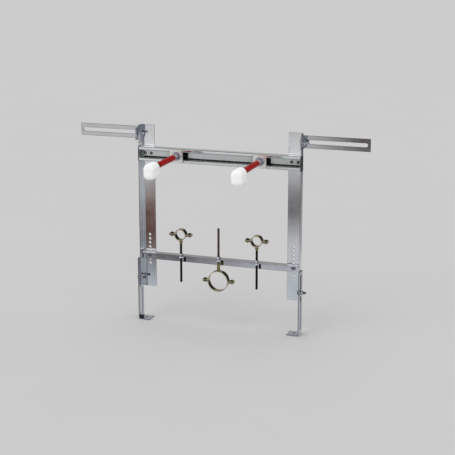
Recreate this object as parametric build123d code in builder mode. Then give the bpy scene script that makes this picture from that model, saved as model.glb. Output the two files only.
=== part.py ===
from build123d import *
from math import cos, radians, tan
import os

# Basin installation frame for a stud wall. Two angle uprights carry a slotted rail with two basin studs
# and, below it, an angle crossbar with three pipe clamps on threaded rods. Slotted brackets reach out to
# the wall studs at the top and down to the floor at the bottom.
# Millimetres. The origin is on the floor, midway between the two floor bolt holes. +X is to the right for
# someone facing the frame, -Y points into the room and +Z is up.

# Uprights: angles of bent sheet, a face at the back and a flange towards the room at the outer edge
frame_width = 548.0
upright_bottom = 109.0
upright_length = 546.0
face_width = 48.0
flange_depth = 27.0
upright_sheet = 2.0
upright_bend = 2.0
notch_gap = 1.5

# Row of holes that sets the height of the crossbar
setting_hole_radius = 4.5
setting_hole_pitch = 14.0
setting_hole_count = 8
setting_hole_inset = 26.5
setting_hole_rise = 80.0
crossbar_hole = 2

# Slotted brackets: one pattern, used as side arms and as feet
strip_width = 40.0
bracket_long = 212.0
bracket_short = 40.0
bracket_sheet = 3.0
bracket_bend = 3.0
bracket_slot_width = 13.0
bracket_slot_start = 17.0
bracket_slot_end = 8.0
bracket_hole_radius = 4.5
bracket_hole_offset = 20.0
arm_drop = 27.0
foot_bolt_rise = 33.0

# Slotted top rail
rail_height = 47.0
rail_depth = 25.0
rail_sheet = 2.0
rail_bend = 1.5
rail_slot = 25.0
rail_lip_return = 6.0
rail_drop = 93.5
rivet_inset = 16.0
rivet_pitch = 21.0
rivet_radius = 2.5
rivet_head_radius = 5.0
rivet_head_height = 2.0

# Plastic caps that close the rail's ends
rail_cap_plate = 2.5
rail_cap_plug = 2.0
rail_cap_rim = 0.5
rail_cap_corner = 2.0
rail_cap_clearance = 0.3

# Crossbar: an angle with its shelf on top
crossbar_height = 27.0
crossbar_shelf = 28.0
crossbar_sheet = 2.5
crossbar_bend = 2.0
crossbar_end_gap = 3.0

# Threaded rods and pipe clamps
rod_radius = 4.0
rod_length = 140.0
rod_spacing = 130.0
rod_setback = 20.0
side_ring_radius = 17.0
side_ring_rise = 70.0
waste_ring_radius = 32.5
waste_ring_drop = 75.0
band_width = 20.0
band_sheet = 2.0
band_bend = 2.0
ear_length = 19.0
ear_gap = 3.0
ear_screw_offset = 12.0
boss_radius = 5.5
side_boss_length = 10.0
waste_boss_length = 24.0
boss_floor = 2.0
clamp_screw_radius = 3.0
clamp_screw_head_radius = 5.0
clamp_screw_head_height = 3.6
clamp_screw_tip = 4.0

# Bolts and nuts
bolt_radius = 4.0
hex_chamfer_angle = 30.0
thread_end_chamfer = 0.8
bolt_head_across = 13.0
bolt_head_height = 5.3
bolt_tip = 9.0
nut_across = 13.0
nut_height = 6.5
washer_radius = 12.0
washer_sheet = 2.0
screw_head_radius = 7.5
screw_head_height = 3.5
screw_tip = 1.0
dome_share = 0.6

# Basin studs with their plates, washers, long nuts, sleeves and end caps
stud_spacing = 280.0
stud_radius = 5.0
stud_plate = 44.0
stud_plate_sheet = 4.0
stud_plate_corner = 3.0
stud_washer_radius = 14.0
stud_washer_sheet = 2.5
stud_nut_across = 17.0
stud_nut_height = 26.5
rail_nut_length = 30.0
rail_nut_height = 38.0
rail_nut_sheet = 6.0
rail_nut_corner = 3.0
stud_back = 4.0
sleeve_radius = 9.5
sleeve_length = 130.0
sleeve_wall = 2.0
sleeve_mouth = 15.0
cap_gap = 30.0
cap_width = 37.0
cap_height = 50.0
cap_depth = 50.0
cap_corner = 14.0
cap_front_round = 13.0
cap_wall = 2.0
cap_socket = 30.0
cap_socket_wall = 2.5

# Clearances: round a threaded shank in its nut, and round a bolt in its hole
thread_clearance = 0.1
hole_clearance = 0.5

# Places worked out from the sizes above
half_width = frame_width / 2
upright_top = upright_bottom + upright_length
back_y = bracket_hole_offset
face_y = back_y - upright_sheet
front_y = face_y - rail_depth
flange_inside = half_width - upright_sheet
setting_x = half_width - setting_hole_inset
setting_bottom = upright_bottom + setting_hole_rise
crossbar_z = setting_bottom + crossbar_hole * setting_hole_pitch
crossbar_top = crossbar_z + crossbar_height / 2
rail_z = upright_top - rail_drop
arm_z = upright_top - arm_drop
foot_bolt_z = upright_bottom + foot_bolt_rise
rod_y = face_y - rod_setback
lip_back_y = front_y + rail_lip_return
plate_front_y = front_y - stud_plate_sheet
stud_washer_front_y = plate_front_y - stud_washer_sheet
stud_nut_front_y = stud_washer_front_y - stud_nut_height
sleeve_front_y = stud_nut_front_y - sleeve_length
cap_back_y = sleeve_front_y - cap_gap
cap_front_y = cap_back_y - cap_depth
cap_inside_y = cap_front_y + cap_wall
stud_front_y = cap_inside_y + thread_clearance


def hex_prism(plane, across, height, bore=0.0):
    """A hexagon of a given width across its flats, along the plane's normal, with its corners chamfered."""
    flat_radius = across / 2
    corner_radius = flat_radius / cos(radians(30))
    rim = (corner_radius - flat_radius) * tan(radians(hex_chamfer_angle))
    with BuildPart() as prism:
        with BuildSketch(Plane(plane.origin, plane.x_dir, -plane.y_dir)):
            with BuildLine():
                Polyline(
                    (0, 0),
                    (flat_radius, 0),
                    (corner_radius, rim),
                    (corner_radius, height - rim),
                    (flat_radius, height),
                    (0, height),
                    close=True,
                )
            make_face()
        revolve(axis=Axis(plane.origin, plane.z_dir))
        with BuildSketch(plane):
            RegularPolygon(radius=flat_radius, side_count=6, major_radius=False)
        extrude(amount=height, mode=Mode.INTERSECT)
        if bore:
            with BuildSketch(plane):
                Circle(bore)
            extrude(amount=height, mode=Mode.SUBTRACT)
    return prism.part


def hex_bolt(plane, grip):
    """A hexagon bolt. The plane lies under the head, with its normal along the shank."""
    with BuildPart() as bolt:
        with BuildSketch(plane):
            Circle(bolt_radius)
        extrude(amount=grip + nut_height + bolt_tip)
        chamfer(bolt.edges().sort_by(Axis(plane.origin, plane.z_dir))[-1], length=thread_end_chamfer)
        add(hex_prism(Plane(plane.origin, plane.x_dir, -plane.z_dir), bolt_head_across, bolt_head_height))
    return bolt.part


def washer(plane):
    """A plain round washer lying on the plane."""
    with BuildPart() as ring:
        with BuildSketch(plane):
            Circle(washer_radius)
            Circle(bolt_radius + hole_clearance, mode=Mode.SUBTRACT)
        extrude(amount=washer_sheet)
    return ring.part


def mirrored(part):
    """The same piece on the other side of the frame."""
    with BuildPart() as other:
        mirror(part, about=Plane.YZ)
    return other.part


def upright():
    """The left upright: an angle with a notch for the rail, the setting holes and the bolt holes."""
    flange_axis = Plane(origin=(-half_width, 0, 0), x_dir=(0, 1, 0), z_dir=(1, 0, 0))
    with BuildPart() as angle:
        with BuildSketch(Plane.XY.offset(upright_bottom)):
            with BuildLine():
                FilletPolyline(
                    (-half_width, back_y - flange_depth),
                    (-half_width, back_y),
                    (face_width - half_width, back_y),
                    radius=upright_bend + upright_sheet,
                )
                offset(amount=upright_sheet, side=Side.RIGHT)
            make_face()
        extrude(amount=upright_length)
        # Notch in the flange that the end of the rail lies in
        with BuildSketch(flange_axis):
            with Locations((face_y - flange_depth / 2, rail_z)):
                Rectangle(flange_depth, rail_height + 2 * notch_gap)
        extrude(amount=upright_sheet + upright_bend, mode=Mode.SUBTRACT)
        # Bolt holes for the arm and the foot in the flange
        with BuildSketch(flange_axis):
            with Locations((0, arm_z), (0, foot_bolt_z)):
                Circle(bolt_radius + hole_clearance)
        extrude(amount=upright_sheet, mode=Mode.SUBTRACT)
        # Setting holes and rivet holes in the face
        with BuildSketch(Plane.XZ.offset(-back_y)):
            setting_middle = setting_bottom + (setting_hole_count - 1) * setting_hole_pitch / 2
            with Locations((-setting_x, setting_middle)):
                with GridLocations(1, setting_hole_pitch, 1, setting_hole_count):
                    Circle(setting_hole_radius)
            with Locations(*rivet_places()):
                Circle(rivet_radius)
        extrude(amount=upright_sheet, mode=Mode.SUBTRACT)
    return angle.part


def rivet_places():
    """Places in X and Z of the rivets that hold the left end of the rail."""
    first = rivet_inset - half_width
    return [(first, rail_z), (first + rivet_pitch, rail_z)]


def bracket(plane):
    """A slotted bracket: the long leg runs along the plane's X and the short leg along its Y."""
    slot_length = bracket_long - bracket_slot_start - bracket_slot_end
    long_side = Plane(plane.origin, plane.x_dir, plane.y_dir)
    short_side = Plane(plane.origin, plane.y_dir, plane.x_dir)
    with BuildPart() as angle:
        with BuildSketch(plane):
            with BuildLine():
                FilletPolyline(
                    (0, bracket_short), (0, 0), (bracket_long, 0), radius=bracket_bend + bracket_sheet
                )
                offset(amount=bracket_sheet, side=Side.LEFT)
            make_face()
        extrude(amount=strip_width / 2, both=True)
        with BuildSketch(long_side):
            with Locations((bracket_slot_start + slot_length / 2, 0)):
                SlotOverall(slot_length, bracket_slot_width)
        extrude(amount=bracket_sheet, mode=Mode.SUBTRACT)
        with BuildSketch(short_side):
            with Locations((bracket_hole_offset, 0)):
                Circle(bracket_hole_radius)
        extrude(amount=bracket_sheet, mode=Mode.SUBTRACT)
    return angle.part


def top_rail():
    """The slotted rail: a channel open to the room, with lips turned back into it."""
    half_height = rail_height / 2
    half_slot = rail_slot / 2
    with BuildPart() as rail:
        with BuildSketch(Plane.YZ.offset(rail_cap_plate - half_width)):
            with BuildLine():
                FilletPolyline(
                    (lip_back_y, rail_z + half_slot),
                    (front_y, rail_z + half_slot),
                    (front_y, rail_z + half_height),
                    (face_y, rail_z + half_height),
                    (face_y, rail_z - half_height),
                    (front_y, rail_z - half_height),
                    (front_y, rail_z - half_slot),
                    (lip_back_y, rail_z - half_slot),
                    radius=rail_bend + rail_sheet,
                )
                offset(amount=rail_sheet, side=Side.RIGHT)
            make_face()
        extrude(amount=frame_width - 2 * rail_cap_plate)
        with BuildSketch(Plane.XZ.offset(-face_y)):
            with Locations(*rivet_places(), *[(-x, z) for x, z in rivet_places()]):
                Circle(rivet_radius)
        extrude(amount=rail_sheet, mode=Mode.SUBTRACT)
    return rail.part


def rail_end_cap():
    """The plastic cap in the rail's left end: a plate over the section and a plug behind the lips."""
    plate_height = rail_height + 2 * rail_cap_rim
    plate_depth = rail_depth + rail_cap_rim
    plug_back_y = face_y - rail_sheet - rail_cap_clearance
    plug_depth = plug_back_y - lip_back_y - rail_cap_clearance
    plug_height = rail_height - 2 * (rail_sheet + rail_cap_clearance)
    with BuildPart() as cap:
        with BuildSketch(Plane.YZ.offset(-half_width)):
            with Locations((face_y - plate_depth / 2, rail_z)):
                RectangleRounded(plate_depth, plate_height, rail_cap_corner)
        extrude(amount=rail_cap_plate)
        with BuildSketch(Plane.YZ.offset(rail_cap_plate - half_width)):
            with Locations((plug_back_y - plug_depth / 2, rail_z)):
                RectangleRounded(plug_depth, plug_height, rail_cap_corner)
        extrude(amount=rail_cap_plug)
    return cap.part


def rail_rivet(x, z):
    """A rivet through the rail's back and the upright's face, with a domed head on both sides."""
    grip = rail_sheet + upright_sheet
    dome_radius = (rivet_head_radius**2 + rivet_head_height**2) / (2 * rivet_head_height)
    with BuildPart() as rivet:
        with BuildSketch(Plane.XZ.offset(-back_y)):
            with Locations((x, z)):
                Circle(rivet_radius)
        extrude(amount=grip)
        for y, way in ((face_y - rail_sheet, -1), (back_y, 1)):
            with BuildSketch(Plane(origin=(x, y, z), x_dir=(1, 0, 0), z_dir=(0, 0, 1))):
                with BuildLine():
                    tip = (0, way * rivet_head_height)
                    Line((0, 0), (rivet_head_radius, 0))
                    RadiusArc((rivet_head_radius, 0), tip, way * -dome_radius)
                    Line(tip, (0, 0))
                make_face()
            revolve(axis=Axis((x, y, z), (0, 1, 0)))
    return rivet.part


def crossbar():
    """The angle that carries the pipe clamps: a web on the uprights' faces and a shelf towards the room."""
    end_x = flange_inside - crossbar_end_gap
    with BuildPart() as angle:
        with BuildSketch(Plane.YZ.offset(-end_x)):
            with BuildLine():
                FilletPolyline(
                    (face_y, crossbar_top - crossbar_height),
                    (face_y, crossbar_top),
                    (face_y - crossbar_shelf, crossbar_top),
                    radius=crossbar_bend + crossbar_sheet,
                )
                offset(amount=crossbar_sheet, side=Side.LEFT)
            make_face()
        extrude(amount=2 * end_x)
        with BuildSketch(Plane.XY.offset(crossbar_top - crossbar_sheet)):
            with Locations(*[(x, rod_y) for x in (-rod_spacing, 0, rod_spacing)]):
                Circle(rod_radius + hole_clearance)
        extrude(amount=crossbar_sheet, mode=Mode.SUBTRACT)
        with BuildSketch(Plane.XZ.offset(-face_y)):
            with Locations((-setting_x, crossbar_z), (setting_x, crossbar_z)):
                Circle(bolt_radius + hole_clearance)
        extrude(amount=crossbar_sheet, mode=Mode.SUBTRACT)
    return angle.part


def crossbar_screw(x):
    """A low-headed screw through the crossbar's web and a setting hole."""
    head_y = face_y - crossbar_sheet
    length = crossbar_sheet + upright_sheet + nut_height + screw_tip
    with BuildPart() as screw:
        with BuildSketch(Plane.XZ.offset(-head_y)):
            with Locations((x, crossbar_z)):
                Circle(screw_head_radius)
        extrude(amount=screw_head_height)
        fillet(screw.edges().group_by(Axis.Y)[0], radius=screw_head_height * dome_share)
        with BuildSketch(Plane.XZ.offset(-head_y)):
            with Locations((x, crossbar_z)):
                Circle(bolt_radius)
        extrude(amount=-length)
    return screw.part


def clamp_half(x, z, inner_radius, way, tapped, boss_length=0.0):
    """Half a pipe clamp, above (way 1) or below (way -1) its middle: a half ring with two flat ears.

    The half that the rod carries has a boss, bored for the rod down to its floor.
    """
    outer_radius = inner_radius + band_sheet
    half_gap = ear_gap / 2
    ear_reach = outer_radius + ear_length
    screw_x = outer_radius + ear_screw_offset
    hole_radius = clamp_screw_radius + (thread_clearance if tapped else hole_clearance)
    with BuildPart() as half:
        with BuildSketch(Plane(origin=(x, rod_y, z), x_dir=(1, 0, 0), z_dir=(0, -1, 0))) as outline:
            Circle(outer_radius)
            with Locations((0, way * (half_gap + band_sheet / 2))):
                Rectangle(2 * ear_reach, band_sheet)
            Circle(inner_radius, mode=Mode.SUBTRACT)
            with Locations((0, way * (half_gap + outer_radius))):
                Rectangle(2 * ear_reach, 2 * outer_radius, mode=Mode.INTERSECT)
            bends = outline.vertices().filter_by(
                lambda v: abs(abs(v.Y) - half_gap - band_sheet) < 0.01 and abs(v.X) < outer_radius
            )
            fillet(bends, radius=band_bend)
        extrude(amount=band_width / 2, both=True)
        with BuildSketch(Plane.XY.offset(z)):
            with Locations((x - screw_x, rod_y), (x + screw_x, rod_y)):
                Circle(hole_radius)
        extrude(amount=way * (half_gap + band_sheet), mode=Mode.SUBTRACT)
        if boss_length:
            base_z = z + way * (inner_radius + band_sheet / 2)
            with BuildSketch(Plane.XY.offset(base_z)):
                with Locations((x, rod_y)):
                    Circle(boss_radius)
            extrude(amount=way * (band_sheet / 2 + boss_length))
            with BuildSketch(Plane.XY.offset(z + way * (outer_radius + boss_length))):
                with Locations((x, rod_y)):
                    Circle(rod_radius + thread_clearance)
            extrude(amount=way * (boss_floor - boss_length), mode=Mode.SUBTRACT)
            with BuildSketch(Plane(origin=(x, rod_y, z), x_dir=(1, 0, 0), z_dir=(0, -1, 0))):
                Circle(inner_radius)
            extrude(amount=band_width / 2, both=True, mode=Mode.SUBTRACT)
    return half.part


def clamp_screw(x, z):
    """A pan-headed screw that draws two clamp ears together, head up."""
    ear_top = z + ear_gap / 2 + band_sheet
    shank = ear_gap + 2 * band_sheet + clamp_screw_tip
    with BuildPart() as screw:
        with BuildSketch(Plane.XY.offset(ear_top)):
            with Locations((x, rod_y)):
                Circle(clamp_screw_head_radius)
        extrude(amount=clamp_screw_head_height)
        fillet(screw.edges().group_by(Axis.Z)[-1], radius=clamp_screw_head_height * dome_share)
        with BuildSketch(Plane.XY.offset(ear_top)):
            with Locations((x, rod_y)):
                Circle(clamp_screw_radius)
        extrude(amount=-shank)
    return screw.part


def threaded_rod(x, start_z):
    """A rod with eased ends."""
    with BuildPart() as rod:
        with BuildSketch(Plane.XY.offset(start_z)):
            with Locations((x, rod_y)):
                Circle(rod_radius)
        extrude(amount=rod_length)
        chamfer(rod.edges().filter_by(GeomType.CIRCLE), length=thread_end_chamfer)
    return rod.part


def front_plane(x, y):
    """A plane across a basin stud, facing the room."""
    return Plane(origin=(x, y, rail_z), x_dir=(1, 0, 0), z_dir=(0, -1, 0))


def basin_stud(x):
    """The threaded stud, from inside the rail to inside its end cap."""
    with BuildPart() as stud:
        with BuildSketch(front_plane(x, lip_back_y + rail_nut_sheet + stud_back)):
            Circle(stud_radius)
        extrude(amount=lip_back_y + rail_nut_sheet + stud_back - stud_front_y)
        chamfer(stud.edges().filter_by(GeomType.CIRCLE), length=thread_end_chamfer)
    return stud.part


def stud_plate_washer(x):
    """The square plate that bears on the rail's lips."""
    with BuildPart() as plate:
        with BuildSketch(front_plane(x, front_y)):
            RectangleRounded(stud_plate, stud_plate, stud_plate_corner)
            Circle(stud_radius + hole_clearance, mode=Mode.SUBTRACT)
        extrude(amount=stud_plate_sheet)
    return plate.part


def stud_washer(x):
    """The round washer under the long nut."""
    with BuildPart() as ring:
        with BuildSketch(front_plane(x, plate_front_y)):
            Circle(stud_washer_radius)
            Circle(stud_radius + hole_clearance, mode=Mode.SUBTRACT)
        extrude(amount=stud_washer_sheet)
    return ring.part


def rail_nut(x):
    """The nut plate inside the rail, behind its lips."""
    with BuildPart() as plate:
        with BuildSketch(front_plane(x, lip_back_y + rail_nut_sheet)):
            RectangleRounded(rail_nut_length, rail_nut_height, rail_nut_corner)
            Circle(stud_radius + thread_clearance, mode=Mode.SUBTRACT)
        extrude(amount=rail_nut_sheet)
    return plate.part


def stud_sleeve(x):
    """The plastic tube that keeps the stud's thread clean, snug on the stud and open at its outer end."""
    with BuildPart() as tube:
        with BuildSketch(front_plane(x, stud_nut_front_y)):
            Circle(sleeve_radius)
            Circle(stud_radius + thread_clearance, mode=Mode.SUBTRACT)
        extrude(amount=sleeve_length)
        with BuildSketch(front_plane(x, sleeve_front_y + sleeve_mouth)):
            Circle(sleeve_radius - sleeve_wall)
        extrude(amount=sleeve_mouth, mode=Mode.SUBTRACT)
    return tube.part


def stud_cap(x):
    """The white cap on the stud's end: an arched shell, open at the back, with a socket for the stud."""
    half = cap_width / 2
    with BuildPart() as cap:
        with BuildSketch(front_plane(x, cap_back_y)) as outline:
            Circle(half)
            with Locations((0, (half - cap_height) / 2)):
                Rectangle(cap_width, cap_height - half)
            fillet(outline.vertices().group_by(Axis.Y)[0], radius=cap_corner)
        extrude(amount=cap_depth)
        fillet(cap.faces().sort_by(Axis.Y)[0].edges(), radius=cap_front_round)
        offset(amount=-cap_wall, openings=cap.faces().sort_by(Axis.Y)[-1])
        with BuildSketch(front_plane(x, cap_inside_y + cap_socket)):
            Circle(stud_radius + thread_clearance + cap_socket_wall)
            Circle(stud_radius + thread_clearance, mode=Mode.SUBTRACT)
        extrude(amount=cap_socket)
    return cap.part


def save(name, *solids):
    """Writes one node: a single solid, or like solids that don't touch."""
    piece = solids[0] if len(solids) == 1 else Compound(list(solids))
    piece.label = name
    export_step(piece, f"parts/{name}.step")


os.makedirs("parts", exist_ok=True)

# Uprights, rail and crossbar
left_upright = upright()
save("left_upright", left_upright)
save("right_upright", mirrored(left_upright))
save("top_rail", top_rail())
save("crossbar", crossbar())
left_rail_end = rail_end_cap()
save("rail_end_caps", left_rail_end, mirrored(left_rail_end))
save("rail_rivets", *[rail_rivet(way * x, z) for way in (1, -1) for x, z in rivet_places()])

# Side arms and feet
left_arm = bracket(Plane(origin=(-half_width, back_y, arm_z), x_dir=(-1, 0, 0), z_dir=(0, 0, 1)))
left_foot = bracket(Plane(origin=(-half_width - bracket_sheet, 0, 0), x_dir=(0, 0, 1), z_dir=(0, 1, 0)))
save("left_arm", left_arm)
save("right_arm", mirrored(left_arm))
save("left_foot", left_foot)
save("right_foot", mirrored(left_foot))

# Bolts through the flanges, all put in from the left, with their nuts and washers
bolt_grip = bracket_sheet + upright_sheet + washer_sheet
for name, z in (("arm", arm_z), ("foot", foot_bolt_z)):
    left_head_x = -half_width - bracket_sheet - washer_sheet
    left_head = Plane(origin=(left_head_x, 0, z), x_dir=(0, 0, 1), z_dir=(1, 0, 0))
    right_head = Plane(origin=(flange_inside, 0, z), x_dir=(0, 0, 1), z_dir=(1, 0, 0))
    bracket_face = right_head.offset(upright_sheet + bracket_sheet)
    nut_bore = bolt_radius + thread_clearance
    save(f"{name}_bolts", hex_bolt(left_head, bolt_grip), hex_bolt(right_head, bolt_grip))
    save(f"{name}_washers", washer(left_head), washer(bracket_face))
    save(
        f"{name}_nuts",
        hex_prism(left_head.offset(bolt_grip), nut_across, nut_height, nut_bore),
        hex_prism(right_head.offset(bolt_grip), nut_across, nut_height, nut_bore),
    )

# Crossbar screws and the nuts behind the uprights
screw_sides = (-setting_x, setting_x)
save("crossbar_screws", *[crossbar_screw(x) for x in screw_sides])
nut_planes = [Plane(origin=(x, back_y, crossbar_z), x_dir=(1, 0, 0), z_dir=(0, 1, 0)) for x in screw_sides]
save(
    "crossbar_nuts",
    *[hex_prism(plane, nut_across, nut_height, bolt_radius + thread_clearance) for plane in nut_planes],
)

# Pipe clamps on their rods: two side clamps above the crossbar and the waste clamp below it
side_z = crossbar_top + side_ring_rise
waste_z = crossbar_top - waste_ring_drop
clamps = (
    ("left", -rod_spacing, side_z, side_ring_radius, -1, side_boss_length),
    ("waste", 0.0, waste_z, waste_ring_radius, 1, waste_boss_length),
    ("right", rod_spacing, side_z, side_ring_radius, -1, side_boss_length),
)
for name, x, z, radius, boss_way, boss_length in clamps:
    outer = radius + band_sheet
    screw_x = outer + ear_screw_offset
    seat_z = z + boss_way * (outer + boss_floor)
    rod_start = seat_z if boss_way > 0 else seat_z - rod_length
    upper_boss = boss_length if boss_way > 0 else 0.0
    save(f"{name}_clamp_upper", clamp_half(x, z, radius, 1, False, upper_boss))
    save(f"{name}_clamp_lower", clamp_half(x, z, radius, -1, True, boss_length - upper_boss))
    save(f"{name}_clamp_screws", clamp_screw(x - screw_x, z), clamp_screw(x + screw_x, z))
    save(f"{name}_rod", threaded_rod(x, rod_start))
    nut_top = Plane(origin=(x, rod_y, crossbar_top), x_dir=(1, 0, 0), z_dir=(0, 0, 1))
    nut_under = Plane(origin=(x, rod_y, crossbar_top - crossbar_sheet), x_dir=(1, 0, 0), z_dir=(0, 0, -1))
    save(
        f"{name}_rod_nuts",
        *[hex_prism(p, nut_across, nut_height, rod_radius + thread_clearance) for p in (nut_top, nut_under)],
    )

# Basin studs
for name, x in (("left", -stud_spacing / 2), ("right", stud_spacing / 2)):
    save(f"{name}_stud", basin_stud(x))
    save(f"{name}_stud_plate", stud_plate_washer(x))
    save(f"{name}_stud_washer", stud_washer(x))
    nut_plane = front_plane(x, stud_washer_front_y)
    nut_bore = stud_radius + thread_clearance
    save(f"{name}_stud_nut", hex_prism(nut_plane, stud_nut_across, stud_nut_height, nut_bore))
    save(f"{name}_rail_nut", rail_nut(x))
    save(f"{name}_stud_sleeve", stud_sleeve(x))
    save(f"{name}_stud_cap", stud_cap(x))
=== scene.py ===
"""Looks of a basin installation frame: finishes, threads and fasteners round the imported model.

Metres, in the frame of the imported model: the origin is on the floor midway between the floor bolt holes,
+X is to the right for someone facing the frame, -Y points into the room and +Z is up.
"""

import logging
import math
from abc import ABC, abstractmethod
from collections.abc import Callable, Sequence
from dataclasses import dataclass
from enum import Enum

import bmesh
import bpy
from mathutils import Matrix, Vector


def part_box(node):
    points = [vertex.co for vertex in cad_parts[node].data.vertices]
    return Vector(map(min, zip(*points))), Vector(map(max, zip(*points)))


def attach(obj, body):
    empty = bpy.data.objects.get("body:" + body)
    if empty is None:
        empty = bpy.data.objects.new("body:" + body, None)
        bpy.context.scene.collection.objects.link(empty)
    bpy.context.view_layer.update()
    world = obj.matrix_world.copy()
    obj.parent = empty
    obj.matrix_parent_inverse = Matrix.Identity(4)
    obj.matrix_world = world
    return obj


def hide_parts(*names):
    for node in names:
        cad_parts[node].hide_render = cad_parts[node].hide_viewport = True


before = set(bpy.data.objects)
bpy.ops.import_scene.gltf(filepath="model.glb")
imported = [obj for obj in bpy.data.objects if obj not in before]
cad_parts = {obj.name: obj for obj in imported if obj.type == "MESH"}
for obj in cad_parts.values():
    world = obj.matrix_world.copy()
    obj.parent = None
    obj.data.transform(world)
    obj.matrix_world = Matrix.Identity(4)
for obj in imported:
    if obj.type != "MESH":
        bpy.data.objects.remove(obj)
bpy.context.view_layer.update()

log = logging.getLogger("basin_frame")

Colour = tuple[float, float, float]
Stops = tuple[tuple[float, Colour], ...]
Ends = tuple[float, float]
Piece = bpy.types.Object
Socket = bpy.types.NodeSocket
Feed = Socket | float | Colour

BODY = "root"
MM = 0.001
HALF_TURN = math.pi
QUARTER_TURN = math.pi / 2
HEX_TURN = math.pi / 6


class Slot(Enum):
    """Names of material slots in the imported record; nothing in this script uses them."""

    FASTENER = "fastener_steel"
    THREAD = "threaded_steel"


class Way(Enum):
    """Where a piece that was modelled along +Z points, as turns about X and Y."""

    UP = (0.0, 0.0)
    RIGHT = (0.0, QUARTER_TURN)
    ROOM = (QUARTER_TURN, 0.0)
    WALL = (-QUARTER_TURN, 0.0)


class Grain(Enum):
    """Direction that a strip was rolled in, as the stretch of its streaks along X, Y and Z."""

    ALONG_X = (0.02, 1.0, 1.0)
    ALONG_Z = (1.0, 1.0, 0.02)


class Graph:
    """Node tree, with short calls for what the finishes and the surroundings use.

    Attributes:
        NOISE_LOW: Value below which a noise seldom falls.
        NOISE_HIGH: Value above which it seldom rises.
        MIX_INPUTS: Places of the share and the two colours among the inputs of a mix.
        MIX_RESULT: Place of the colour among its outputs.
    """

    NOISE_LOW = 0.3
    NOISE_HIGH = 0.7
    MIX_INPUTS = (0, 6, 7)
    MIX_RESULT = 2

    def __init__(self, tree: bpy.types.NodeTree) -> None:
        """Keeps the tree that the nodes go into."""
        self.tree = tree

    def feed(self, source: Feed, target: Socket) -> None:
        """Links an output to an input, or sets the input.

        Args:
            source: An output, a number or a colour.
            target: The input.
        """
        if isinstance(source, Socket):
            self.tree.links.new(source, target)
        elif isinstance(source, tuple):
            target.default_value = (*source, 1.0)
        else:
            target.default_value = source

    def add(self, kind: str, inputs: dict[str, Feed] | None = None) -> bpy.types.Node:
        """Adds a node.

        Args:
            kind: Type of the node.
            inputs: What its inputs are linked or set to, by their names.

        Returns:
            The node.
        """
        node = self.tree.nodes.new(kind)
        for name, source in (inputs or {}).items():
            self.feed(source, node.inputs[name])
        return node

    def ramp(self, value: Socket, stops: Stops) -> Socket:
        """Colours along a value.

        Args:
            value: The value to read.
            stops: Place and colour of each stop, in rising order.

        Returns:
            The colour.
        """
        node = self.add("ShaderNodeValToRGB", {"Fac": value})
        elements = node.color_ramp.elements
        while len(elements) < len(stops):
            elements.new(1.0)
        for element, (place, colour) in zip(elements, stops):
            element.position = place
            element.color = (*colour, 1.0)
        return node.outputs["Color"]

    def fade(self, value: Socket, first: Colour, second: Colour, start: float = NOISE_LOW,
             end: float = NOISE_HIGH) -> Socket:
        """A colour that runs from the first to the second while a value runs from start to end."""
        return self.ramp(value, ((start, first), (end, second)))

    def span(self, value: Socket, low: float, high: float, start: float = NOISE_LOW,
             end: float = NOISE_HIGH) -> Socket:
        """A value that runs from low to high while the one that it reads runs from start to end."""
        limits = {"From Min": start, "From Max": end, "To Min": low, "To Max": high}
        return self.add("ShaderNodeMapRange", {"Value": value, **limits}).outputs["Result"]

    def mix(self, share: Socket | float, first: Socket | Colour, second: Socket | Colour) -> Socket:
        """Two colours blended.

        Args:
            share: Share of the second colour, from 0 to 1.
            first: Lower colour.
            second: Upper colour.

        Returns:
            The blended colour.
        """
        node = self.add("ShaderNodeMix")
        node.data_type = "RGBA"
        for source, place in zip((share, first, second), self.MIX_INPUTS):
            self.feed(source, node.inputs[place])
        return node.outputs[self.MIX_RESULT]


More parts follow.
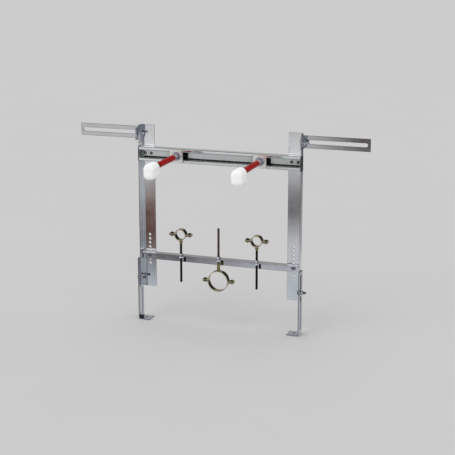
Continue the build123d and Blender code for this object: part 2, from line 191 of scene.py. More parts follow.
class Coat(Graph):
    """Node tree of one material, read in Object coordinates.

    Attributes:
        SAMPLES: Rays for each look at the edges and walls nearby.
        FULL_EDGE: Cosine between a face and its rounded self where the edge line is full.
        FLAT: The same where a face counts as flat.
    """

    SAMPLES = 6
    FULL_EDGE = 0.95
    FLAT = 0.997

    def __init__(self, name: str) -> None:
        """Starts a material.

        Args:
            name: Name of the material.
        """
        self.material = bpy.data.materials.new(name)
        self.material.use_nodes = True
        super().__init__(self.material.node_tree)
        self.shader = self.tree.nodes["Principled BSDF"]
        self.place = self.add("ShaderNodeTexCoord").outputs["Object"]

    def drive(self, inputs: dict[str, Feed]) -> None:
        """Links or sets inputs of the shader, by their names."""
        for name, source in inputs.items():
            self.feed(source, self.shader.inputs[name])

    def noise(self, size: float, detail: float, grain: Grain | None = None) -> Socket:
        """Cloudy noise.

        Args:
            size: Size of a cloud in metres.
            detail: Octaves of finer noise inside it.
            grain: Way that the clouds are drawn out, or None for round ones.

        Returns:
            The noise's value, from 0 to 1.
        """
        place = self.place
        if grain:
            mapping = self.add("ShaderNodeMapping", {"Vector": place})
            mapping.inputs["Scale"].default_value = grain.value
            place = mapping.outputs["Vector"]
        inputs = {"Scale": 1.0 / size, "Detail": detail, "Vector": place}
        return self.add("ShaderNodeTexNoise", inputs).outputs[0]

    def cells(self, size: float) -> Socket:
        """Irregular crystal cells of a size in metres, each with one random value from 0 to 1."""
        texture = self.add("ShaderNodeTexVoronoi", {"Scale": 1.0 / size, "Vector": self.place})
        return self.add("ShaderNodeSeparateColor", {"Color": texture.outputs["Color"]}).outputs[0]

    def edges(self, width: float) -> Socket:
        """A share that is 0 on open faces and 1 along the edges of a piece.

        Args:
            width: Width of the edge line in metres.

        Returns:
            The share.
        """
        rounded = self.add("ShaderNodeBevel", {"Radius": width})
        rounded.samples = self.SAMPLES
        facing = self.add("ShaderNodeNewGeometry")
        agree = self.add("ShaderNodeVectorMath")
        agree.operation = "DOT_PRODUCT"
        for node, target in zip((rounded, facing), agree.inputs):
            self.feed(node.outputs["Normal"], target)
        return self.span(agree.outputs["Value"], 1.0, 0.0, self.FULL_EDGE, self.FLAT)

    def crevices(self, reach: float, open_from: float, packed: float = 0.2) -> Socket:
        """A share that is 0 on open faces and 1 deep in corners and channels, read by ambient occlusion, so
        that it follows where shade falls.

        Args:
            reach: How far off a wall still shades a face, in metres.
            open_from: Openness from which a face counts as open, from 0 to 1.
            packed: Openness up to which a face counts as deep, from 0 to 1.

        Returns:
            The share.
        """
        shade = self.add("ShaderNodeAmbientOcclusion", {"Distance": reach})
        shade.samples = self.SAMPLES
        return self.span(shade.outputs["AO"], 1.0, 0.0, packed, open_from)

    def bump(self, height: Socket, strength: float, depth: float) -> Socket:
        """Way that a surface faces where a height raises it, at a strength and a depth in metres."""
        inputs = {"Strength": strength, "Distance": depth, "Height": height}
        return self.add("ShaderNodeBump", inputs).outputs["Normal"]


@dataclass(frozen=True)
class SheetFinish:
    """Rolled sheet with a bright zinc coat: clouded crystals under fine streaks, with painted shade in
    corners and a dark edge line that is partly painted shade.

    Attributes:
        name: Name of the material.
        dull: Colour of the dull crystals.
        bright: Colour of the bright crystals.
        grain: Way that the strip was rolled.
        polish: Roughness where the coat is brightest and where it is dullest.
        crystal: Size of a crystal in metres.
        cloud: Size of the large clouds in metres.
        streak: Width of a streak in metres.
        spangled: Share of the crystals in the clouded coat, from 0 to 1.
        rolled: Share of the streaks in the whole, from 0 to 1.
        relief: Strength of the streaks' unevenness and its depth in metres.
        edge: Colour along the edges: partly the bare steel at sheared edges, partly a painted dark outline
            that stands in for shade.
        edge_width: Width of that line along an edge in metres.
        painted_shade: Colour of the painted shade in corners and channels.
        painted_shade_reach: How far off a wall the painted shade still reaches, in metres.
        open_from: Openness from which a face takes no painted shade, from 0 to 1.
        dust_and_light: Matt pale colour in the tightest corners: dust, and on the rail also painted light
            that the web mirrors.
        dust_and_light_reach: How far from a corner it lies, in metres.
        dust_and_light_range: Openness where it starts and where it is full, from 0 to 1.
    """

    name: str
    dull: Colour
    bright: Colour
    grain: Grain
    polish: Ends = (0.05, 0.10)
    crystal: float = 9 * MM
    cloud: float = 70 * MM
    streak: float = 2.2 * MM
    spangled: float = 0.3
    rolled: float = 0.35
    relief: Ends = (0.04, 0.03 * MM)
    edge: Colour = (0.06, 0.057, 0.063)
    edge_width: float = 2.6 * MM
    painted_shade: Colour = (0.10, 0.11, 0.11)
    painted_shade_reach: float = 10 * MM
    open_from: float = 0.7
    dust_and_light: Colour = (0.30, 0.33, 0.33)
    dust_and_light_reach: float = 0.5 * MM
    dust_and_light_range: Ends = (0.92, 0.70)

    def material(self) -> bpy.types.Material:
        """Makes the material.

        Returns:
            The material.
        """
        coat = Coat(self.name)
        streaks = coat.noise(self.streak, 3.0, self.grain)
        clouds = coat.noise(self.cloud, 3.0)
        zinc = coat.fade(clouds, self.dull, self.bright)
        spangle = coat.fade(coat.cells(self.crystal), self.dull, self.bright, start=0.0, end=1.0)
        rolled = coat.fade(streaks, self.dull, self.bright)
        colour = coat.mix(self.rolled, coat.mix(self.spangled, zinc, spangle), rolled)
        # Edge line: partly the bare steel at sheared edges, partly a painted dark outline that stands in for
        # shade along edges and bends.
        edge_tone = coat.fade(streaks, self.edge, self.dull, start=0.35, end=1.0)
        edged = coat.mix(coat.edges(self.edge_width), colour, edge_tone)
        # Painted shade in corners and channels, where ambient occlusion finds nearby walls.
        shade_tone = coat.fade(clouds, self.painted_shade, self.dull, start=0.2, end=1.0)
        shaded = coat.mix(coat.crevices(self.painted_shade_reach, self.open_from), edged, shade_tone)
        # Matt pale colour in the tightest corners: dust, and on the rail also painted light on the lips'
        # backs that the web mirrors; the metal turns matt there.
        dust_and_light = coat.fade(clouds, self.dust_and_light, self.painted_shade, end=1.0)
        corners = coat.crevices(self.dust_and_light_reach, *self.dust_and_light_range)
        coat.drive({
            "Base Color": coat.mix(corners, shaded, dust_and_light),
            "Metallic": coat.span(corners, 1.0, 0.0, start=0.0, end=1.0),
            "Roughness": coat.span(clouds, *self.polish),
            "Normal": coat.bump(streaks, *self.relief),
        })
        return coat.material


@dataclass(frozen=True)
class PlatedFinish:
    """Plated steel with soft tints in its coat, with painted shade in corners and a painted line along the
    edges.

    Attributes:
        name: Name of the material.
        tints: Colours of the coat, from one end of its clouds to the other.
        polish: Roughness where the coat is brightest and where it is dullest.
        cloud: Size of the tints in metres.
        pit: Size of the fine unevenness in metres.
        relief: Strength of the fine unevenness and its depth in metres.
        edge: Colour of the painted line along the edges: a dark outline that stands in for shade, and on the
            yellow bands a cream painted highlight.
        edge_width: Width of that line along an edge in metres.
        edge_metal: How metallic that line is, from 0 to 1.
        painted_shade: Colour of the painted shade in corners.
        painted_shade_reach: How far off a wall the painted shade still reaches, in metres.
        open_from: Openness from which a face takes no painted shade, from 0 to 1.
    """

    name: str
    tints: Stops
    polish: Ends
    cloud: float = 6 * MM
    pit: float = 0.8 * MM
    relief: Ends = (0.2, 0.03 * MM)
    edge: Colour = (0.07, 0.07, 0.08)
    edge_width: float = 0.9 * MM
    edge_metal: float = 1.0
    painted_shade: Colour = (0.03, 0.03, 0.03)
    painted_shade_reach: float = 4 * MM
    open_from: float = 0.8

    def material(self) -> bpy.types.Material:
        """Makes the material.

        Returns:
            The material.
        """
        coat = Coat(self.name)
        clouds = coat.noise(self.cloud, 4.0)
        fine = coat.noise(self.pit, 2.0)
        edges = coat.edges(self.edge_width)
        first, second = (colour for _, colour in self.tints[:2])
        # Painted line along the edges: a dark outline that stands in for shade, and on the yellow bands a
        # cream painted highlight.
        edge_line = coat.fade(fine, self.edge, second, start=0.5, end=1.0)
        edged = coat.mix(edges, coat.ramp(clouds, self.tints), edge_line)
        # Painted shade in corners, where ambient occlusion finds nearby walls.
        hollow_tone = coat.fade(fine, self.painted_shade, first, start=0.4, end=1.0)
        coat.drive({
            "Base Color": coat.mix(coat.crevices(self.painted_shade_reach, self.open_from), edged, hollow_tone),
            "Metallic": coat.span(edges, 1.0, self.edge_metal, start=0.0, end=1.0),
            "Roughness": coat.span(fine, *self.polish),
            "Normal": coat.bump(fine, *self.relief),
        })
        return coat.material


@dataclass(frozen=True)
class PlasticFinish:
    """Moulded plastic with a faint flow in its colour and a fine grain.

    Attributes:
        name: Name of the material.
        deep: Colour where the plastic is deepest.
        pale: Colour where it is palest.
        polish: Roughness where it is smoothest and where it is roughest.
        flow: Size of the flow in its colour, in metres.
        grain: Size of the moulded grain in metres.
        relief: Strength of the grain and its depth in metres.
        gloss: Level of the mirrored light.
        glow: Share of the light that scatters inside.
        scatter: How far that light goes, in metres.
        hollow_tone: Greyish colour mixed into corners and channels by how shaded they are; on the black caps
            it is pale painted light in their hollows.
        hollow_reach: How far off a wall that colour still reaches, in metres.
        open_from: Openness from which a face takes none of it, from 0 to 1.
    """

    name: str
    deep: Colour
    pale: Colour
    polish: Ends
    flow: float = 18 * MM
    grain: float = 0.5 * MM
    relief: Ends = (0.15, 0.02 * MM)
    gloss: float = 0.5
    glow: float = 0.0
    scatter: float = 2 * MM
    hollow_tone: Colour = (0.55, 0.59, 0.59)
    hollow_reach: float = 1 * MM
    open_from: float = 0.95

    def material(self) -> bpy.types.Material:
        """Makes the material.

        Returns:
            The material.
        """
        coat = Coat(self.name)
        flow = coat.noise(self.flow, 2.0)
        fine = coat.noise(self.grain, 1.0)
        clear = coat.fade(flow, self.deep, self.pale)
        # Greyish colour where ambient occlusion finds nearby walls; on the black caps it is pale painted
        # light.
        hollow_colour = coat.fade(flow, self.hollow_tone, self.pale, start=0.2, end=1.0)
        coat.drive({
            "Base Color": coat.mix(coat.crevices(self.hollow_reach, self.open_from), clear, hollow_colour),
            "Roughness": coat.span(fine, *self.polish),
            "Specular IOR Level": self.gloss,
            "Subsurface Weight": self.glow,
            "Subsurface Scale": self.scatter,
            "Normal": coat.bump(fine, *self.relief),
        })
        return coat.material


Finish = SheetFinish | PlatedFinish | PlasticFinish
TINT_PLACES = (0.3, 0.55, 0.75)


def tints(*colours: Colour) -> Stops:
    """Stops of a coat with three tints, at the usual places along its clouds."""
    return tuple(zip(TINT_PLACES, colours))


# Each sheet and plated finish below paints shade into corners, where ambient occlusion finds nearby walls,
# and paints a line along its edges.
UPRIGHT_FINISH = SheetFinish(
    "bright_galvanised_upright", (0.60, 0.61, 0.63), (0.78, 0.79, 0.81), Grain.ALONG_Z,
    edge_width=1.4 * MM, open_from=0.45,
)
# The rail's channel takes a dark teal painted shade, and pale painted light on the lips' backs that the web
# mirrors.
RAIL_FINISH = SheetFinish(
    "bright_galvanised_rail", (0.54, 0.56, 0.56), (0.72, 0.74, 0.74), Grain.ALONG_X,
    edge=(0.22, 0.22, 0.23), edge_width=1.0 * MM,
    painted_shade=(0.05, 0.065, 0.06), painted_shade_reach=36 * MM, open_from=0.95,
    dust_and_light=(0.50, 0.60, 0.60), dust_and_light_reach=10 * MM,
)
CROSSBAR_FINISH = SheetFinish(
    "bright_galvanised_crossbar", (0.44, 0.44, 0.465), (0.75, 0.75, 0.775), Grain.ALONG_X,
    edge_width=1.4 * MM,
)
ARM_FINISH = SheetFinish(
    "blue_zinc_arm", (0.485, 0.495, 0.515), (0.64, 0.65, 0.67), Grain.ALONG_X,
    polish=(0.08, 0.14), crystal=3 * MM,
)
FOOT_FINISH = SheetFinish(
    "blue_zinc_foot", (0.34, 0.36, 0.40), (0.46, 0.48, 0.52), Grain.ALONG_Z,
    polish=(0.08, 0.14), crystal=3 * MM, painted_shade=(0.02, 0.02, 0.025),
)
# The fasteners take a painted dark outline along their edges.
FASTENER_FINISH = PlatedFinish(
    "bright_zinc_fastener",
    tints((0.62, 0.68, 0.76), (0.84, 0.87, 0.92), (0.71, 0.74, 0.80)),
    (0.10, 0.20), edge=(0.04, 0.045, 0.05),
)
BOLT_FINISH = PlatedFinish(
    "bright_zinc_bolt",
    tints((0.66, 0.72, 0.80), (0.88, 0.91, 0.95), (0.76, 0.79, 0.85)),
    (0.10, 0.20), edge_width=0.25 * MM, painted_shade_reach=2 * MM,
)
# The rod nuts take a painted dark outline along their edges.
NUT_FINISH = PlatedFinish(
    "polished_zinc_rod_nut",
    tints((0.80, 0.83, 0.87), (0.94, 0.95, 0.97), (0.86, 0.88, 0.91)),
    (0.06, 0.14), edge=(0.02, 0.02, 0.025), edge_width=1.2 * MM,
)
DARK_BOLT_FINISH = PlatedFinish(
    "dark_zinc_bolt",
    tints((0.13, 0.14, 0.18), (0.24, 0.25, 0.30), (0.18, 0.19, 0.23)),
    (0.12, 0.24), edge_width=0.25 * MM, painted_shade_reach=2 * MM,
)
DULL_FINISH = PlatedFinish(
    "dull_zinc_stud_nut",
    tints((0.26, 0.25, 0.30), (0.46, 0.45, 0.50), (0.34, 0.33, 0.38)),
    (0.12, 0.24),
)
THREAD_FINISH = PlatedFinish(
    "dark_oiled_thread",
    tints((0.045, 0.036, 0.031), (0.10, 0.074, 0.063), (0.062, 0.050, 0.045)),
    (0.28, 0.42), 8 * MM, edge=(0.05, 0.04, 0.035), edge_width=0.2 * MM,
)
WASTE_THREAD_FINISH = PlatedFinish(
    "brown_oiled_thread",
    tints((0.20, 0.16, 0.14), (0.42, 0.32, 0.28), (0.28, 0.225, 0.20)),
    (0.28, 0.42), 8 * MM, edge=(0.10, 0.08, 0.07), edge_width=0.2 * MM,
)
# The yellow bands take a cream painted highlight along their edges and a near-black painted shade that
# reaches far into corners.
YELLOW_FINISH = PlatedFinish(
    "yellow_passivated_band",
    (
        (0.25, (0.13, 0.12, 0.05)),
        (0.45, (0.30, 0.25, 0.11)),
        (0.60, (0.40, 0.33, 0.19)),
        (0.78, (0.22, 0.17, 0.11)),
    ),
    (0.10, 0.20), 9 * MM, edge=(0.70, 0.63, 0.46), edge_width=1.1 * MM, edge_metal=0.2,
    painted_shade=(0.012, 0.011, 0.008), painted_shade_reach=40 * MM, open_from=1.0,
)
# The rivets' dark colour and the dark ring along their edges are painted shade, standing in for the shadowed
# rims of the pressed joints.
RIVET_FINISH = PlatedFinish(
    "painted_shade_rivet",
    tints((0.08, 0.085, 0.085), (0.17, 0.18, 0.18), (0.11, 0.115, 0.115)),
    (0.16, 0.28), 4 * MM, edge=(0.015, 0.018, 0.018), edge_width=2.4 * MM,
)
OLIVE_FINISH = PlatedFinish(
    "olive_passivated_screw",
    tints((0.025, 0.023, 0.013), (0.07, 0.065, 0.038), (0.042, 0.038, 0.022)),
    (0.16, 0.28), 4 * MM,
)
PALE_FINISH = PlatedFinish(
    "cream_plated_plate",
    tints((0.80, 0.78, 0.69), (0.90, 0.89, 0.84), (0.84, 0.82, 0.77)),
    (0.22, 0.36), 14 * MM,
)
RED_FINISH = PlasticFinish(
    "red_tube_plastic", (0.27, 0.003, 0.004), (0.36, 0.006, 0.006), (0.30, 0.42), gloss=0.05,
)
WHITE_FINISH = PlasticFinish(
    "white_cap_plastic", (0.90, 0.905, 0.91), (0.94, 0.94, 0.94), (0.34, 0.46), gloss=0.3, glow=0.1,
)
# The black caps take pale painted light in their hollows, which the rail's web mirrors.
BLACK_FINISH = PlasticFinish(
    "black_cap_plastic", (0.010, 0.010, 0.011), (0.022, 0.022, 0.023), (0.38, 0.55),
    hollow_reach=30 * MM,
)


class Paint:
    """Keeps one material for each finish and puts it on pieces."""

    made: dict[str, bpy.types.Material] = {}

    @classmethod
    def coat(cls, piece: Piece, finish: Finish) -> None:
        """Covers a whole piece with a finish.

        Args:
            piece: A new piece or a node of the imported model.
            finish: The finish.
        """
        if finish.name not in cls.made:
            cls.made[finish.name] = finish.material()
        material = cls.made[finish.name]
        if not piece.material_slots:
            piece.data.materials.append(material)
        for slot in piece.material_slots:
            slot.material = material

    @classmethod
    def nodes(cls, finish: Finish, *names: str) -> None:
        """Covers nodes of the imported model.

        Args:
            finish: The finish.
            names: Names of the nodes.
        """
        for name in names:
            cls.coat(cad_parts[name], finish)
            log.info("%s: %s", name, finish.name)


def clear() -> None:
    """Deselects everything in object mode."""
    bpy.ops.object.select_all(action="DESELECT")


def cylinder(radius: float, length: float, sides: int, start: float = 0.0) -> Piece:
    """Adds a cylinder along Z, whose first corner lies along X.

    Args:
        radius: Radius at the corners.
        length: Length along Z.
        sides: Number of sides.
        start: Where it starts along Z.

    Returns:
        The new object, with its place in its mesh.
    """
    clear()
    bpy.ops.mesh.primitive_cylinder_add(
        vertices=sides,
        radius=radius,
        depth=length,
        location=(0, 0, start + length / 2),
        rotation=(0, 0, QUARTER_TURN),
    )
    piece = bpy.context.active_object
    bpy.ops.object.transform_apply(location=True, rotation=True, scale=True)
    return piece


def choose(piece: Piece, mode: str, test: Callable[[object], bool]) -> None:
    """Enters edit mode and selects the elements that pass a test.

    Args:
        piece: The mesh object.
        mode: VERT, EDGE or FACE.
        test: Says of a vertex, edge or face whether it is selected.
    """
    bpy.context.view_layer.objects.active = piece
    bpy.ops.object.mode_set(mode="EDIT")
    bpy.ops.mesh.select_mode(type=mode)
    bpy.ops.mesh.select_all(action="DESELECT")
    mesh = bmesh.from_edit_mesh(piece.data)
    elements = {"VERT": mesh.verts, "EDGE": mesh.edges, "FACE": mesh.faces}[mode]
    for element in elements:
        if test(element):
            element.select_set(True)
    mesh.select_flush_mode()
    bmesh.update_edit_mesh(piece.data)


def done() -> None:
    """Leaves edit mode."""
    bpy.ops.object.mode_set(mode="OBJECT")


def modify(piece: Piece, kind: str, **settings: object) -> None:
    """Gives a piece a modifier and applies it.

    Args:
        piece: The mesh object.
        kind: Type of the modifier.
        settings: The modifier's settings, by name.
    """
    modifier = piece.modifiers.new(kind.lower(), kind)
    for name, value in settings.items():
        setattr(modifier, name, value)
    bpy.context.view_layer.objects.active = piece
    bpy.ops.object.modifier_apply(modifier=modifier.name)


def combine(piece: Piece, tool: Piece, operation: str) -> None:
    """Cuts a piece with a tool by DIFFERENCE or INTERSECT, and removes the tool."""
    modify(piece, "BOOLEAN", operation=operation, solver="EXACT", object=tool)
    bpy.data.objects.remove(tool, do_unlink=True)


def ease(piece: Piece, width: float) -> None:
    """Rounds the sharp edges of a piece by a width."""
    sharp = {"limit_method": "ANGLE", "angle_limit": math.radians(28)}
    modify(piece, "BEVEL", width=width, segments=2, **sharp)


def join(pieces: Sequence[Piece]) -> Piece:
    """Joins pieces into the first of them and leaves only that selected.

    Args:
        pieces: The pieces, or a single one, which stays as it is.

    Returns:
        The first piece.
    """
    clear()
    for piece in pieces:
        piece.select_set(True)
    bpy.context.view_layer.objects.active = pieces[0]
    if len(pieces) > 1:
        bpy.ops.object.join()
    return pieces[0]


def copied(piece: Piece, way: Way, places: Sequence[Vector]) -> list[Piece]:
    """Turns a modelled piece and sets one copy of it, with its own mesh, at each place.

    Args:
        piece: The piece along +Z, which is used up.
        way: Where it points.
        places: Where its origin comes.

    Returns:
        The copies, in the order of the places.
    """
    about_x, about_y = way.value
    turn = Matrix.Rotation(about_y, 4, "Y") @ Matrix.Rotation(about_x, 4, "X")
    copies = []
    for place in places:
        copy = piece.copy()
        copy.data = piece.data.copy()
        bpy.context.scene.collection.objects.link(copy)
        copy.data.transform(Matrix.Translation(place) @ turn)
        copies.append(copy)
    bpy.data.objects.remove(piece, do_unlink=True)
    return copies


def hand_over(piece: Piece, way: Way, places: Sequence[Vector], node: str, finish: PlatedFinish) -> None:
    """Sets copies of a piece out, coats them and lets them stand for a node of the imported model.

    Args:
        piece: The piece along +Z, which is used up.
        way: Where it points.
        places: Where the origin of each copy comes.
        node: The node that the copies stand for.
        finish: Their finish.
    """
    piece = join(copied(piece, way, places))
    piece.name = f"{node}_detailed"
    piece.data.name = piece.name
    piece.data.materials.clear()
    Paint.coat(piece, finish)
    bpy.ops.object.shade_smooth_by_angle(angle=math.radians(32))
    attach(piece, BODY)
    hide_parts(node)
    log.info("%s stands for %s: %d faces", piece.name, node, len(piece.data.polygons))


def thread(radius: float, pitch: float, length: float) -> Piece:
    """Models a threaded bar along +Z from the origin, with eased flat ends.

    Args:
        radius: Radius over the crests.
        pitch: Rise of one turn.
        length: Length of the bar.

    Returns:
        The bar.
    """
    steps = 20
    lead = 2  # turns beyond each end, which are cut off
    depth = 0.58 * pitch
    rises = ((0.3, 0.62), (0.1, 0.38))  # reach of the flank and the crest in pitches, and share of the depth
    root = radius - depth
    middle = -pitch / 2 - lead * pitch
    clear()
    bpy.ops.mesh.primitive_plane_add(size=pitch, rotation=(QUARTER_TURN, 0, 0))
    bar = bpy.context.active_object
    bpy.ops.object.transform_apply(location=True, rotation=True, scale=True)
    choose(bar, "VERT", lambda v: v.co.x < 0)
    bpy.ops.mesh.delete(type="VERT")
    bpy.ops.mesh.select_all(action="SELECT")
    bpy.ops.mesh.subdivide(number_cuts=3)
    bpy.ops.mesh.select_all(action="SELECT")
    bpy.ops.transform.translate(value=(root - pitch / 2, 0, middle))
    for reach, share in rises:
        choose(bar, "VERT", lambda v, r=reach: abs(v.co.z - middle) < r * pitch)
        bpy.ops.transform.translate(value=(depth * share, 0, 0))
    done()
    turns = math.ceil(length / pitch) + 2 * lead
    modify(bar, "SCREW", axis="Z", screw_offset=pitch, iterations=turns, steps=steps, render_steps=steps)
    for height, keep_above in ((0.0, True), (length, False)):
        choose(bar, "VERT", lambda v: True)
        bpy.ops.mesh.remove_doubles(threshold=0.01 * MM)
        bpy.ops.mesh.select_all(action="SELECT")
        bpy.ops.mesh.bisect(
            plane_co=(0, 0, height),
            plane_no=(0, 0, 1),
            use_fill=True,
            clear_inner=keep_above,
            clear_outer=not keep_above,
            threshold=0.001 * MM,
        )
    bpy.ops.mesh.select_all(action="SELECT")
    bpy.ops.mesh.normals_make_consistent(inside=False)
    done()
    for vertex in bar.data.vertices:
        from_end = min(vertex.co.z, length - vertex.co.z)
        share = min(1.0, (root + from_end) / max(vertex.co.xy.length, root))
        vertex.co.x *= share
        vertex.co.y *= share
    return bar


def hexagon(across: float, height: float, bore: float = 0.0, turn: float = 0.0) -> Piece:
    """Models a hexagon along +Z from the origin, its corners turned down to a cone at both ends.

    Args:
        across: Width across the flats.
        height: Height along Z.
        bore: Radius of the hole through it, or 0 for none.
        turn: Angle of its first corner from X.

    Returns:
        The hexagon.
    """
    flat = across / 2
    corner = flat / math.cos(HEX_TURN)
    drop = (corner - flat) * math.tan(HEX_TURN)
    edge = (corner + flat) / 2
    level = 0.9  # upward part of the normal beyond which a face is an end
    overcut = 1 * MM
    through = height + 2 * overcut
    blank = cylinder(corner, height, sides=48)
    choose(blank, "FACE", lambda f: abs(f.normal.z) > level)
    bpy.ops.mesh.inset(thickness=corner - flat, use_even_offset=True)
    choose(blank, "VERT", lambda v: v.co.z > height / 2 and v.co.xy.length > edge)
    bpy.ops.transform.translate(value=(0, 0, -drop))
    choose(blank, "VERT", lambda v: v.co.z < height / 2 - drop and v.co.xy.length > edge)
    bpy.ops.transform.translate(value=(0, 0, drop))
    done()
    prism = cylinder(corner, through, sides=6, start=-overcut)
    prism.data.transform(Matrix.Rotation(turn, 4, "Z"))
    combine(blank, prism, "INTERSECT")
    if bore:
        combine(blank, cylinder(bore, through, sides=32, start=-overcut), "DIFFERENCE")
    ease(blank, width=0.18 * MM)
    return blank


def pan_head(radius: float, height: float) -> Piece:
    """Models a low rounded screw head along +Z from the origin, with a cross recess in its top.

    Args:
        radius: Radius of the head.
        height: Height of the head.

    Returns:
        The head.
    """
    near = 0.02 * MM
    dome = 0.6 * height
    sunk = 0.6 * height
    recess = (1.1 * radius, 0.24 * radius, 2 * sunk)
    taper = (0.5, 0.7, 1.0)  # the recess's floor as shares of its mouth

    def on_rim(edge: bmesh.types.BMEdge) -> bool:
        """Says whether an edge lies round the top of the head."""
        return all(abs(v.co.z - height) < near and abs(v.co.xy.length - radius) < near for v in edge.verts)

    head = cylinder(radius, height, sides=40)
    choose(head, "EDGE", on_rim)
    bpy.ops.mesh.bevel(offset=dome, segments=6, affect="EDGES")
    done()
    for turn in (0.0, QUARTER_TURN):
        clear()
        bpy.ops.mesh.primitive_cube_add(size=1.0, location=(0, 0, height))
        blade = bpy.context.active_object
        blade.scale = recess
        bpy.ops.object.transform_apply(location=True, rotation=True, scale=True)
        choose(blade, "VERT", lambda v: v.co.z < height)
        bpy.ops.transform.resize(value=taper)
        done()
        blade.data.transform(Matrix.Rotation(turn, 4, "Z"))
        combine(head, blade, "DIFFERENCE")
    ease(head, width=0.12 * MM)
    return head


def pan_screw(head_radius: float, head: float, radius: float, pitch: float, length: float) -> Piece:
    """Models a screw with its rounded head above the origin and its thread below.

    Args:
        head_radius: Radius of the head.
        head: Height of the head.
        radius: Radius of the thread.
        pitch: Pitch of the thread.
        length: Length of the thread.

    Returns:
        The screw.
    """
    top = pan_head(head_radius, head)
    shank = thread(radius, pitch, length)
    shank.data.transform(Matrix.Rotation(HALF_TURN, 4, "X"))
    return join([top, shank])


class SubAssembly(ABC):
    """A part of the frame that is modelled and dressed as one."""

    def build(self) -> None:
        """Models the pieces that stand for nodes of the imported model, where there are any."""

    @abstractmethod
    def dress(self) -> None:
        """Gives the nodes that stay as they are their finishes."""


@dataclass
class Uprights(SubAssembly):
    """The two angle uprights."""

    nodes: tuple[str, str] = ("left_upright", "right_upright")

    def dress(self) -> None:
        """Gives both uprights their sheet finish."""
        Paint.nodes(UPRIGHT_FINISH, *self.nodes)


@dataclass
class TopRail(SubAssembly):
    """The slotted rail with its rivets and end caps."""

    rail: str = "top_rail"
    rivets: str = "rail_rivets"
    caps: str = "rail_end_caps"

    def dress(self) -> None:
        """Gives the rail, its rivets and its caps their finishes."""
        Paint.nodes(RAIL_FINISH, self.rail)
        Paint.nodes(RIVET_FINISH, self.rivets)
        Paint.nodes(BLACK_FINISH, self.caps)


@dataclass
class BracketPair(SubAssembly):
    """A pair of slotted brackets, each bolted to an upright with all bolts put in from the left.

    Attributes:
        name: Name of the bolts, nuts and washers: arm or foot.
        strip: Finish of the brackets.
        bolt: Finish of the bolts.
        across: Width of the bolt heads and nuts across their flats.
        head: Height of a bolt head.
        nut: Height of a nut.
        radius: Radius of the thread.
        pitch: Pitch of the thread.
        bore: Radius of a nut's hole.
    """

    name: str
    strip: SheetFinish
    bolt: PlatedFinish
    across: float = 13.0 * MM
    head: float = 5.3 * MM
    nut: float = 6.5 * MM
    radius: float = 3.95 * MM
    pitch: float = 1.25 * MM
    bore: float = 4.1 * MM

    def build(self) -> None:
        """Models the two bolts and the two nuts."""
        low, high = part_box(f"{self.name}_bolts")
        nut_low, nut_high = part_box(f"{self.name}_nuts")
        middle_y = (low.y + high.y) / 2
        middle_z = (low.z + high.z) / 2
        length = (nut_low.x - low.x) + self.nut + (high.x - nut_high.x)
        head = hexagon(self.across, self.head, turn=HEX_TURN)
        shank = thread(self.radius, self.pitch, length - self.head)
        shank.data.transform(Matrix.Translation((0, 0, self.head)))
        bolt = join([head, shank])
        starts = [Vector((x, middle_y, middle_z)) for x in (low.x, high.x - length)]
        hand_over(bolt, Way.RIGHT, starts, f"{self.name}_bolts", self.bolt)
        nut = hexagon(self.across, self.nut, self.bore, turn=HEX_TURN)
        seats = [Vector((x, middle_y, middle_z)) for x in (nut_low.x, nut_high.x - self.nut)]
        hand_over(nut, Way.RIGHT, seats, f"{self.name}_nuts", FASTENER_FINISH)

    def dress(self) -> None:
        """Gives the brackets and the washers their finishes."""
        Paint.nodes(self.strip, f"left_{self.name}", f"right_{self.name}")
        Paint.nodes(FASTENER_FINISH, f"{self.name}_washers")


@dataclass
class Crossbar(SubAssembly):
    """The angle across the uprights, with its two screws and their nuts.

    Attributes:
        bar: Node of the angle.
        head_radius: Radius of a screw head.
        head: Height of a screw head.
        across: Width of a nut across its flats.
        nut: Height of a nut.
        radius: Radius of the thread.
        pitch: Pitch of the thread.
        bore: Radius of a nut's hole.
    """

    bar: str = "crossbar"
    head_radius: float = 7.5 * MM
    head: float = 3.5 * MM
    across: float = 13.0 * MM
    nut: float = 6.5 * MM
    radius: float = 3.95 * MM
    pitch: float = 1.25 * MM
    bore: float = 4.1 * MM

    def build(self) -> None:
        """Models the two screws and the two nuts."""
        low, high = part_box("crossbar_screws")
        middle_z = (low.z + high.z) / 2
        sides = (low.x + self.head_radius, high.x - self.head_radius)
        head_back = low.y + self.head
        screw = pan_screw(self.head_radius, self.head, self.radius, self.pitch, high.y - head_back)
        seats = [Vector((x, head_back, middle_z)) for x in sides]
        hand_over(screw, Way.ROOM, seats, "crossbar_screws", DARK_BOLT_FINISH)
        nut_low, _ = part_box("crossbar_nuts")
        nut = hexagon(self.across, self.nut, self.bore)
        seats = [Vector((x, nut_low.y, middle_z)) for x in sides]
        hand_over(nut, Way.WALL, seats, "crossbar_nuts", FASTENER_FINISH)

    def dress(self) -> None:
        """Gives the angle its sheet finish."""
        Paint.nodes(CROSSBAR_FINISH, self.bar)


